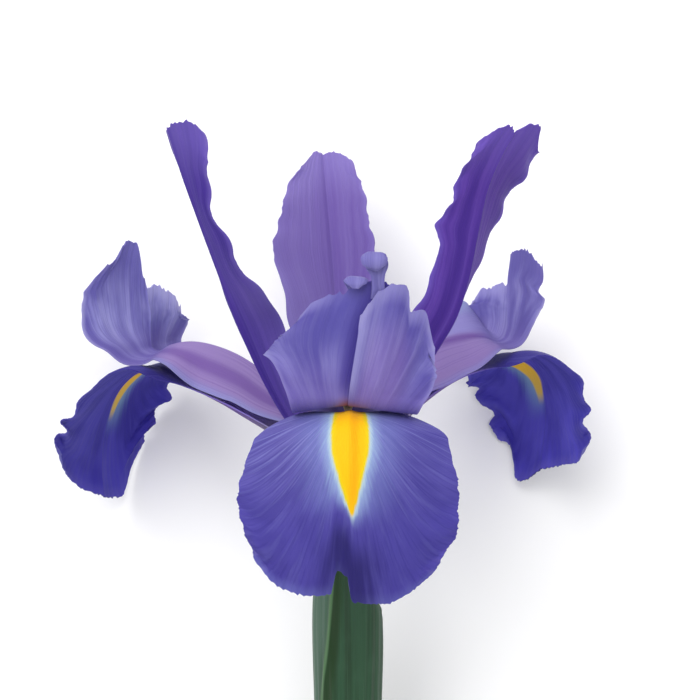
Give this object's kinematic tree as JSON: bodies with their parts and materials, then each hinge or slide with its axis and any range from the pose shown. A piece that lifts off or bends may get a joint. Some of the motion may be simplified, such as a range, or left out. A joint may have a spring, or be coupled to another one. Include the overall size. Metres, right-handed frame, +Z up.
{
  "type": "iris flower",
  "caption": "Cut iris bloom lying down: round drooping falls with yellow signals, upright standards, arched styles with frilled crests, and a short stem in green spathes.",
  "frame": {"origin": "centre of the bounding box in X and Y, on the surface that the flower lies on", "axes": "+Z up from the surface; the stem's cut end points towards -Y, the upright petals towards +Y, and the front fall faces up, tipped a little towards -Y; +X is the flower's right"},
  "size_m": [0.1024, 0.1598, 0.0871],
  "materials": {
    "fall": "soft violet-blue petal",
    "standard": "soft violet petal",
    "style": "pale violet petal",
    "stamen": "pale matte",
    "ovary": "green, waxy",
    "spathe": "green, waxy, ribbed",
    "stem": "green, waxy"
  },
  "bodies": {
    "root": {"fall_front": "fall", "fall_left": "fall", "fall_right": "fall", "standard_left": "standard", "standard_right": "standard", "standard_back": "standard", "style_front": "style", "style_left": "style", "style_right": "style", "stamen_front": "stamen", "stamen_left": "stamen", "stamen_right": "stamen", "ovary": "ovary", "spathe_outer": "spathe", "spathe_inner": "spathe", "stem": "stem"}
  },
  "joints": []
}
